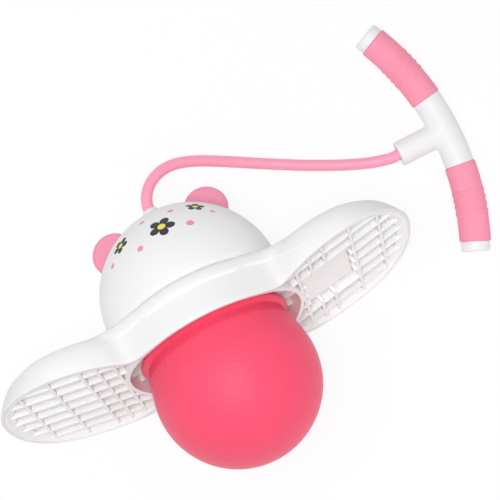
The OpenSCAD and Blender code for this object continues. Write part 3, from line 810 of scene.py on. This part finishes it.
class JUMPBALL_OT_deck(bpy.types.Operator):
    """Lay a smooth skin over the deck's walls and shoulders, and finish the solid under it"""

    bl_idname = "jump_ball.deck"
    bl_label = "Deck"

    def execute(self, context):
        points, faces = skin(lay(deck_rings()), capped=False)
        points[:, 2] = np.maximum(points[:, 2], 0)
        piece("deck_skin", (points, faces), "white_satin", "toy", sharp=50)
        # The solid under the skin takes the lighter white, painted light that brightens its shaded pockets
        # between the ribs
        dress("inside_satin", "deck")
        dress("grey_satin", "clamp_ring")
        dress("screw_plated", "clamp_screws", "dome_screws")
        return {"FINISHED"}


# The ball

BALL_SIDES = 224
# Angle between the pole and its first ring, and how far the band's curve keeps the bulb's direction
POLE_GAP = 0.01
BAND_PULL = 0.6
# Where the bead's round starts, and the share of its radius that is sunk in the band
BEAD_START = math.radians(-50)
BEAD_SUNK = 1 / 3
# The flange: height of its underside, its width and thickness, and the innermost ring of the lid over it
FLANGE_UNDER = -9.5 * MM
FLANGE = 3.4 * MM
LID_HOLE = 2 * MM
# The hole for the valve's seat: how far its cutter reaches from the ball's surface, and the cutter's sides
VALVE_CUT = (-6 * MM, 4 * MM)
VALVE_SIDES = 72
BALL_SHARP = 35


def ball_profile():
    """The ball's outline from its pole: bulb, a band that draws in towards its top, bead, neck and flange."""
    ball = sizes("ball")
    bead = ball.bead_up - sizes("deck").ring_h
    band = ball.radius - ball.band_in
    neck = ball.radius - ball.neck_in
    way = np.array([math.cos(ball.taper), math.sin(ball.taper)])
    leave = ball.radius * way + [0, ball_middle()]
    arrive = np.array([band, bead - 2 * ball.bead_r])
    towards = leave + BAND_PULL * (arrive[1] - leave[1]) * np.array([-way[1], way[0]])
    side = bend(leave, towards, arrive, steps=140)
    side[:, 0] -= ball.hollow * between(side[:, 1], arrive[1] - ball.hollow_h, arrive[1])
    return join(
        arc([0, ball_middle()], ball.radius, -QUARTER + POLE_GAP, ball.taper, steps=110),
        side,
        arc([band - BEAD_SUNK * ball.bead_r, bead], ball.bead_r, BEAD_START, QUARTER, steps=20),
        [[neck, bead + ball.bead_r], [neck, FLANGE_UNDER], [neck + FLANGE, FLANGE_UNDER]],
        [[neck + FLANGE, FLANGE_UNDER + FLANGE], [LID_HOLE, FLANGE_UNDER + FLANGE]],
    )


class JUMPBALL_OT_ball(bpy.types.Operator):
    """Make the ball with the hole for its valve"""

    bl_idname = "jump_ball.ball"
    bl_label = "Ball"

    def execute(self, context):
        ball = sizes("ball")
        bulb = skin(lay(revolve(ball_profile(), BALL_SIDES)))
        made = piece("ball_skin", bulb, "ball_matt", "toy", ["ball"], sharp=BALL_SHARP)
        axis = np.array(joints["plug_pull"]["axis"])
        side = np.array([1.0, 0, 0])
        hole = revolve(np.array([[ball.valve_hole, ball.radius + cut] for cut in VALVE_CUT]), VALVE_SIDES)
        hole = on_axis(ball_middle()) + hole @ np.stack([side, np.cross(axis, side), axis])
        cut_away(made, smooth_mesh("valve_hole", *skin(hole)))
        made.data.set_sharp_from_angle(angle=math.radians(BALL_SHARP))
        dress("valve_matt", "valve_seat", "valve_plug")
        return {"FINISHED"}


# The dome and its ears

DOME_SIDES = 256
# Rounding of the collar's tip, and the angle between the dome's round and the collar's foot
COLLAR_LIP = 1 * MM
FOOT_GAP = 0.03
EAR_SIDES = 128
# Radius of an ear's innermost ring, and how far its foot is sunk in the dome
EAR_MIDDLE = 0.2 * MM
EAR_SUNK = 0.4 * MM


def dome_profile():
    """The dome's closed outline: seat, rolled edge, outside, collar, cord hole, boss and inside."""
    dome = sizes("dome")
    seat = math.sqrt(dome.radius**2 - dome.rise**2) - dome.roll
    low = math.asin((dome.roll_h - dome.rise) / dome.radius)
    foot = math.acos(dome.foot_r / dome.radius)
    edge = [dome.radius * math.cos(low), dome.roll_h]
    top = dome.rise + dome.radius
    tip = top + dome.collar_h
    inner = dome.radius - dome.wall
    inner_low = math.asin((dome.roll_h - dome.rise) / inner)
    boss = dome.rise + inner - dome.boss_h
    collar_foot = [dome.foot_r, dome.rise + dome.radius * math.sin(foot)]
    collar_top = [dome.collar_r, tip - COLLAR_LIP]
    return join(
        [[seat - dome.wall, 0]],
        bend([seat, 0], [edge[0], 0], edge, steps=12),
        arc([0, dome.rise], dome.radius, low, foot - FOOT_GAP, steps=72),
        bend(collar_foot, [dome.collar_r + COLLAR_LIP, top], collar_top, steps=14),
        bend(collar_top, [dome.collar_r, tip], [dome.collar_r - COLLAR_LIP / 2, tip], steps=4),
        [[dome.cord_hole, tip], [dome.cord_hole, boss], [dome.boss_r, boss]],
        arc([0, dome.rise], inner, math.acos(dome.boss_r / inner), inner_low, steps=24),
    )


def ear_rings(side):
    """Rings of one ear: a disc with a rounded edge, stood on the dome, swung out and turned to its side.

    Points that would lie inside the dome are moved out along their spokes to just under its surface.
    """
    ear, dome = sizes("ears"), sizes("dome")
    half = ear.thick / 2
    rim = ear.radius - ear.rounding
    face = join(
        np.linspace([EAR_MIDDLE, -half], [rim, -half], num=12),
        arc([rim, -half + ear.rounding], ear.rounding, -QUARTER, 0, steps=12),
        arc([rim, half - ear.rounding], ear.rounding, 0, QUARTER, steps=12),
        np.linspace([rim, half], [EAR_MIDDLE, half], num=12),
    )
    disc = revolve(face, EAR_SIDES)
    disc = np.stack([disc[..., 0], -disc[..., 2], disc[..., 1] + dome.radius + ear.out - ear.radius], axis=2)
    s, c = math.sin(ear.polar), math.cos(ear.polar)
    swing = np.array([[c, 0, s], [0, 1, 0], [-s, 0, c]])
    turn = ear.back if side > 0 else math.pi - ear.back
    s, c = math.sin(turn), math.cos(turn)
    spin = np.array([[c, -s, 0], [s, c, 0], [0, 0, 1]])
    disc = disc @ (spin @ swing).T
    reach = np.linalg.norm(disc, axis=2, keepdims=True)
    foot = dome.radius - EAR_SUNK
    disc = np.where(reach < foot, disc * foot / reach, disc)
    return lay(disc + np.array([0, 0, dome.rise]))


class JUMPBALL_OT_dome(bpy.types.Operator):
    """Make the dome with its collar and its printed sprig, and the two ears"""

    bl_idname = "jump_ball.dome"
    bl_label = "Dome and ears"

    def execute(self, context):
        shell = skin(lay(revolve(dome_profile(), DOME_SIDES)), closed=True)
        piece("dome_shell", shell, "dome_printed", "toy", ["dome"], sharp=50)
        for name, side in (("ear_left", -1), ("ear_right", 1)):
            piece(name + "_disc", skin(ear_rings(side)), "ear_satin", "toy", [name], sharp=60)
        dress("cord_satin", "dome_knot")
        dress("screw_plated", "dome_washer")
        return {"FINISHED"}


# The cord

# The free cord's points, in millimetres: down to the floor, along it and up to the stem
CORD_FREE = [
    (3, 92, 41.8), (10.5, 100.5, 38), (22, 106.3, 33), (35.5, 107.3, 27), (50, 103.8, 20.2),
    (69.5, 94.6, 13), (89.5, 83.4, 8), (109.5, 71.8, 5.4), (125, 63, 5), (140, 54.6, 5),
    (154, 47.4, 5), (168, 40.4, 5.6), (180, 35, 7.4), (192, 30.2, 10.3), (202, 27.2, 12.8),
]
# How far above the boss the drawn cord starts, and how far past the collar's tip it runs straight
CORD_START = 1 * MM
COLLAR_RUN = 2 * MM
# The cord's last points, by their distance in front of the stem's mouth
STEM_RUN = (6 * MM, 0, -8 * MM)


def cord_route():
    """The cord's points, in metres: out of the collar, down to the floor and along it into the stem."""
    dome = sizes("dome")
    boss = dome.rise + dome.radius - dome.wall - dome.boss_h
    tip = dome.rise + dome.radius + dome.collar_h
    start = [on_axis(boss + CORD_START), on_axis(tip), on_axis(tip + COLLAR_RUN)]
    end = [hub() - [sizes("handle").stem_len + before, 0, 0] for before in STEM_RUN]
    return np.vstack([start, np.array(CORD_FREE) * MM, end])


def smooth_curve(points, steps):
    """A cubic spline through points, by the distance along them, with no bend at its ends."""
    gap = np.linalg.norm(np.diff(points, axis=0), axis=1)
    along = np.r_[0, np.cumsum(gap)]
    n = len(points)
    system = np.eye(n)
    right = np.zeros((n, 3))
    inner = np.arange(1, n - 1)
    system[inner, inner - 1] = gap[:-1]
    system[inner, inner] = 2 * (gap[:-1] + gap[1:])
    system[inner, inner + 1] = gap[1:]
    slope = np.diff(points, axis=0) / gap[:, None]
    right[inner] = 6 * np.diff(slope, axis=0)
    bending = np.linalg.solve(system, right)
    at = np.linspace(0, along[-1], steps)
    k = np.clip(np.searchsorted(along, at, side="right") - 1, 0, n - 2)
    h = gap[k][:, None]
    before = (along[k + 1] - at)[:, None] / h
    after = 1 - before
    bow = (before**3 - before) * bending[k] + (after**3 - after) * bending[k + 1]
    return before * points[k] + after * points[k + 1] + bow * h**2 / 6


def tube(path, radius, sides):
    """Rings of a round tube along a path that is never upright."""
    along = unit(np.gradient(path, axis=0))
    side = unit(np.cross(along, [0, 0, 1]))
    up = np.cross(side, along)
    turn = around(sides)[None, :, None]
    return path[:, None] + radius * (np.cos(turn) * side[:, None] + np.sin(turn) * up[:, None])


class JUMPBALL_OT_cord(bpy.types.Operator):
    """Make the elastic cord, which stretches between the dome and the handle"""

    bl_idname = "jump_ball.cord"
    bl_label = "Cord"

    def execute(self, context):
        cord = sizes("cord")
        route = cord_route()
        path = smooth_curve(route, cord.steps)
        strand = skin(tube(path, cord.radius, cord.sides))
        made = piece("elastic_cord", strand, "cord_satin", None, ["cord"], sharp=60)
        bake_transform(made)
        return {"FINISHED"}


# The handle

BAR_SIDES = 72
BAR_STEPS = 40
STEM_SIDES = 96
FILLET_STEPS = 9
# How deep the stem's mouth is drawn, and how near to the bar's crown its fillet comes
MOUTH = 8 * MM
CROWN = 0.999
GRIP_STEPS = 270
# Where a grip's ring has its foot, and how long its slope is, in shares of its half width
RING_FOOT = 1.1
RING_SLOPE = 0.3
# Clearance between a grip's bore and the bar
BORE_GAP = 0.2 * MM
# A cap's dished face: how far in it starts, its depth, and the radius of its innermost ring
DISH_IN = 1 * MM
DISH_DEEP = 0.5 * MM
CAP_MIDDLE = 0.5 * MM


def bar_rings(angles, radii):
    """Rings of a bar of changing radius along the handle's curve."""
    curve, turn = sizes("handle").curve, around(BAR_SIDES)
    angles, radii = angles[:, None], radii[:, None]
    reach = curve + radii * np.cos(turn)
    rings = [reach * np.cos(angles) - curve, reach * np.sin(angles), radii * np.sin(turn)]
    return hub() + np.stack(rings, axis=2)


def stem_rings():
    """Rings of the stem: its mouth, its rounded edge, its side and a fillet that spreads over the bar."""
    handle = sizes("handle")
    mouth = -handle.stem_len
    root = -handle.core_r - handle.stem_fillet
    profile = join(
        [[handle.cord_hole, mouth + MOUTH], [handle.cord_hole, mouth]],
        arc([handle.stem_r - handle.edge, mouth + handle.edge], handle.edge, -QUARTER, 0, steps=6),
        np.linspace([handle.stem_r, mouth + handle.edge], [handle.stem_r, root], num=10),
    )
    rings = list(revolve(profile, STEM_SIDES)[..., ::-1])
    turn = around(STEM_SIDES)
    crown = CROWN * handle.core_r
    for bow in np.linspace(0, QUARTER, FILLET_STEPS):
        radius = handle.stem_r + handle.stem_fillet * (1 - math.cos(bow))
        height = np.clip(radius * np.cos(turn), -crown, crown)
        over_bar = np.sqrt(handle.core_r**2 - height**2)
        away = handle.stem_fillet * (1 - math.sin(bow))
        rings.append(np.stack([-over_bar - away, radius * np.sin(turn), height], axis=1))
    return hub() + np.array(rings)


def grip_outline(side):
    """A grip's sleeve along the bar: rounded ends, raised rings and its bore, as angles and radii."""
    handle = sizes("handle")
    start, end = handle.grip_from, handle.grip_to
    turn = np.linspace(start, end, GRIP_STEPS)
    from_end = np.minimum(turn - start, end - turn) * handle.curve
    corner = np.clip(1 - from_end / handle.edge, 0, 1)
    radii = handle.grip_r - handle.edge * (1 - np.sqrt(1 - corner**2))
    middle = (start + end) / 2
    for k in range(handle.rings):
        at = middle + (k - (handle.rings - 1) / 2) * handle.ring_pitch / handle.curve
        near = np.abs(turn - at) * handle.curve / (handle.ring_w / 2)
        radii = radii + handle.ring_up * ease((RING_FOOT - near) / RING_SLOPE)
    bore = handle.grip_r - handle.grip_wall + BORE_GAP
    return side * np.r_[start, turn, end], np.r_[bore, radii, bore]


def cap_rings(side):
    """Rings of one end cap across the bar's end: rounded foot, straight side, rounded edge, dished face."""
    handle = sizes("handle")
    radius, foot = handle.cap_r, handle.edge / 2
    rim, shoulder = radius - handle.cap_round, handle.cap_t - handle.cap_round
    profile = join(
        [[radius - handle.edge, 0]],
        arc([radius - foot, foot], foot, -QUARTER, 0, steps=4),
        np.linspace([radius, handle.edge], [radius, shoulder], num=4),
        arc([rim, shoulder], handle.cap_round, 0, QUARTER, steps=10),
        np.linspace([rim - DISH_IN, handle.cap_t], [CAP_MIDDLE, handle.cap_t - DISH_DEEP], num=8),
    )
    turn = side * handle.grip_to
    out = np.array([math.cos(turn), math.sin(turn), 0])
    along = side * np.array([-math.sin(turn), math.cos(turn), 0])
    end = hub() + handle.curve * (out - [1, 0, 0])
    return end + revolve(profile, BAR_SIDES) @ np.stack([out, np.cross(along, out), along])


def tee_surface():
    """The bar, thinner under its grips, and the stem as one surface, each with its faces turned outwards."""
    handle = sizes("handle")
    under = handle.grip_r - handle.grip_wall
    start, end = handle.grip_from, handle.grip_to
    angles = np.r_[-end, -start, np.linspace(-start, start, BAR_STEPS), start, end]
    radii = np.r_[under, under, np.full(BAR_STEPS, handle.core_r), under, under]
    bar_points, bar_faces = skin(bar_rings(angles, radii))
    stem_points, stem_faces = skin(stem_rings(), capped=False)
    faces = outwards(bar_points, bar_faces)
    faces += [kind + len(bar_points) for kind in outwards(stem_points, stem_faces)]
    return np.vstack([bar_points, stem_points]), faces


class JUMPBALL_OT_handle(bpy.types.Operator):
    """Make the T handle, its grips and its caps"""

    bl_idname = "jump_ball.handle"
    bl_label = "Handle"

    def execute(self, context):
        tee = tee_surface()
        piece("handle_tee", tee, "white_satin", "handle", ["handle_core"], sharp=50)
        for name, side in (("left", 1), ("right", -1)):
            grip, cap = "grip_" + name, "cap_" + name
            sleeve = skin(bar_rings(*grip_outline(side)), closed=True)
            piece(grip + "_sleeve", sleeve, "grip_matt", "handle", [grip])
            piece(cap + "_end", skin(cap_rings(side)), "white_satin", "handle", [cap])
        dress("cord_satin", "handle_knot")
        dress("screw_plated", "handle_washer")
        return {"FINISHED"}


# The stage

# The camera looks almost straight down on the toy: its place in metres, its turn in degrees, its sensor in mm
CAMERA_AT = (0.018303, 0.010526, 1.572778)
CAMERA_TURN = (0.7472, -1.4121, -27.3352)
SENSOR = 36
# Lamps: name, place, side of the square in metres, and the property that holds the power
LAMPS = [
    ("key_lamp", (-0.5, 0.55, 1.35), 1.1, "key"),
    ("front_lamp", (-0.12, 0.06, 1.8), 0.6, "front"),
    ("fill_lamp", (0.45, -0.75, 1.0), 0.9, "fill"),
]
LAMP_AIM = (0.06, 0.0, 0.05)
# Share of plain white in what the camera sees of the floor
FLOOR_GLOW = 0.85


def floor_paper():
    """White paper that shows white to the camera and in reflections, and keeps a faint shadow."""
    made, tree, shader, place = material("floor_paper")
    tint = blend_colour(tree, noise(tree, place, scale=300.0), (0.93, 0.93, 0.93, 1), (0.95, 0.95, 0.95, 1))
    feed(tree, shader.inputs, {"Base Color": tint, "Roughness": 0.9})
    glow = node(tree, "ShaderNodeEmission", {"Color": (1, 1, 1, 1), "Strength": 1.0})
    path = node(tree, "ShaderNodeLightPath").outputs
    seen = calculate(tree, "MAXIMUM", path["Is Camera Ray"], path["Is Glossy Ray"])
    seen = calculate(tree, "MAXIMUM", seen, path["Is Transmission Ray"])
    share = calculate(tree, "MULTIPLY", seen, FLOOR_GLOW)
    both = node(tree, "ShaderNodeMixShader", {0: share, 1: shader.outputs[0], 2: glow.outputs[0]})
    tree.links.new(both.outputs[0], tree.nodes["Material Output"].inputs["Surface"])
    return made


class JUMPBALL_OT_stage(bpy.types.Operator):
    """Set the floor, the lamps, the even light and the camera"""

    bl_idname = "jump_ball.stage"
    bl_label = "Stage"

    def execute(self, context):
        stage = sizes("stage")
        scene = context.scene
        half = stage.floor / 2
        corners = [(-half, -half, 0), (half, -half, 0), (half, half, 0), (-half, half, 0)]
        mesh = bpy.data.meshes.new("floor")
        mesh.from_pydata(corners, [], [(0, 1, 2, 3)])
        mesh.materials.append(kept("floor_paper"))
        floor = put("floor", mesh)
        for name, place, side, power in LAMPS:
            lamp = bpy.data.lights.new(name, "AREA")
            lamp.shape = "SQUARE"
            lamp.size = side
            lamp.energy = getattr(stage, power)
            aim = unit(np.subtract(LAMP_AIM, place))
            put(name, lamp, place, (math.acos(-aim[2]), 0, math.atan2(aim[0], -aim[1])))
        world = bpy.data.worlds.new("even_light")
        world.use_nodes = True
        sky = world.node_tree.nodes["Background"].inputs
        feed(world.node_tree, sky, {"Color": (1, 1, 1, 1), "Strength": stage.sky})
        scene.world = world
        lens = bpy.data.cameras.new("camera")
        lens.sensor_width = SENSOR
        lens.lens = stage.lens
        scene.camera = put("camera", lens, CAMERA_AT, [math.radians(turn) for turn in CAMERA_TURN])
        scene.view_settings.view_transform = "Standard"
        return {"FINISHED"}


class JUMPBALL_PT_panel(bpy.types.Panel):
    """Lists the steps that dress the toy"""

    bl_label = "Jump ball"
    bl_idname = "JUMPBALL_PT_panel"
    bl_space_type = "VIEW_3D"
    bl_region_type = "UI"
    bl_category = "Jump ball"

    def draw(self, context):
        for step in steps:
            self.layout.operator(step.bl_idname)


steps = [
    JUMPBALL_OT_stage,
    JUMPBALL_OT_cord,
    JUMPBALL_OT_deck,
    JUMPBALL_OT_ball,
    JUMPBALL_OT_dome,
    JUMPBALL_OT_handle,
]


def register():
    """Adds the properties, the steps and the panel."""
    for name, group in sizes_of.items():
        bpy.utils.register_class(group)
        setattr(bpy.types.Scene, "jump_ball_" + name, PointerProperty(type=group))
    for made in steps + [JUMPBALL_PT_panel]:
        bpy.utils.register_class(made)


def unregister():
    """Takes them away again."""
    for made in [JUMPBALL_PT_panel] + steps[::-1]:
        bpy.utils.unregister_class(made)
    for name, group in sizes_of.items():
        delattr(bpy.types.Scene, "jump_ball_" + name)
        bpy.utils.unregister_class(group)


def main():
    """Dresses the toy step by step."""
    register()
    for step in steps:
        area, name = step.bl_idname.split(".")
        getattr(getattr(bpy.ops, area), name)()


if __name__ == "__main__":
    main()
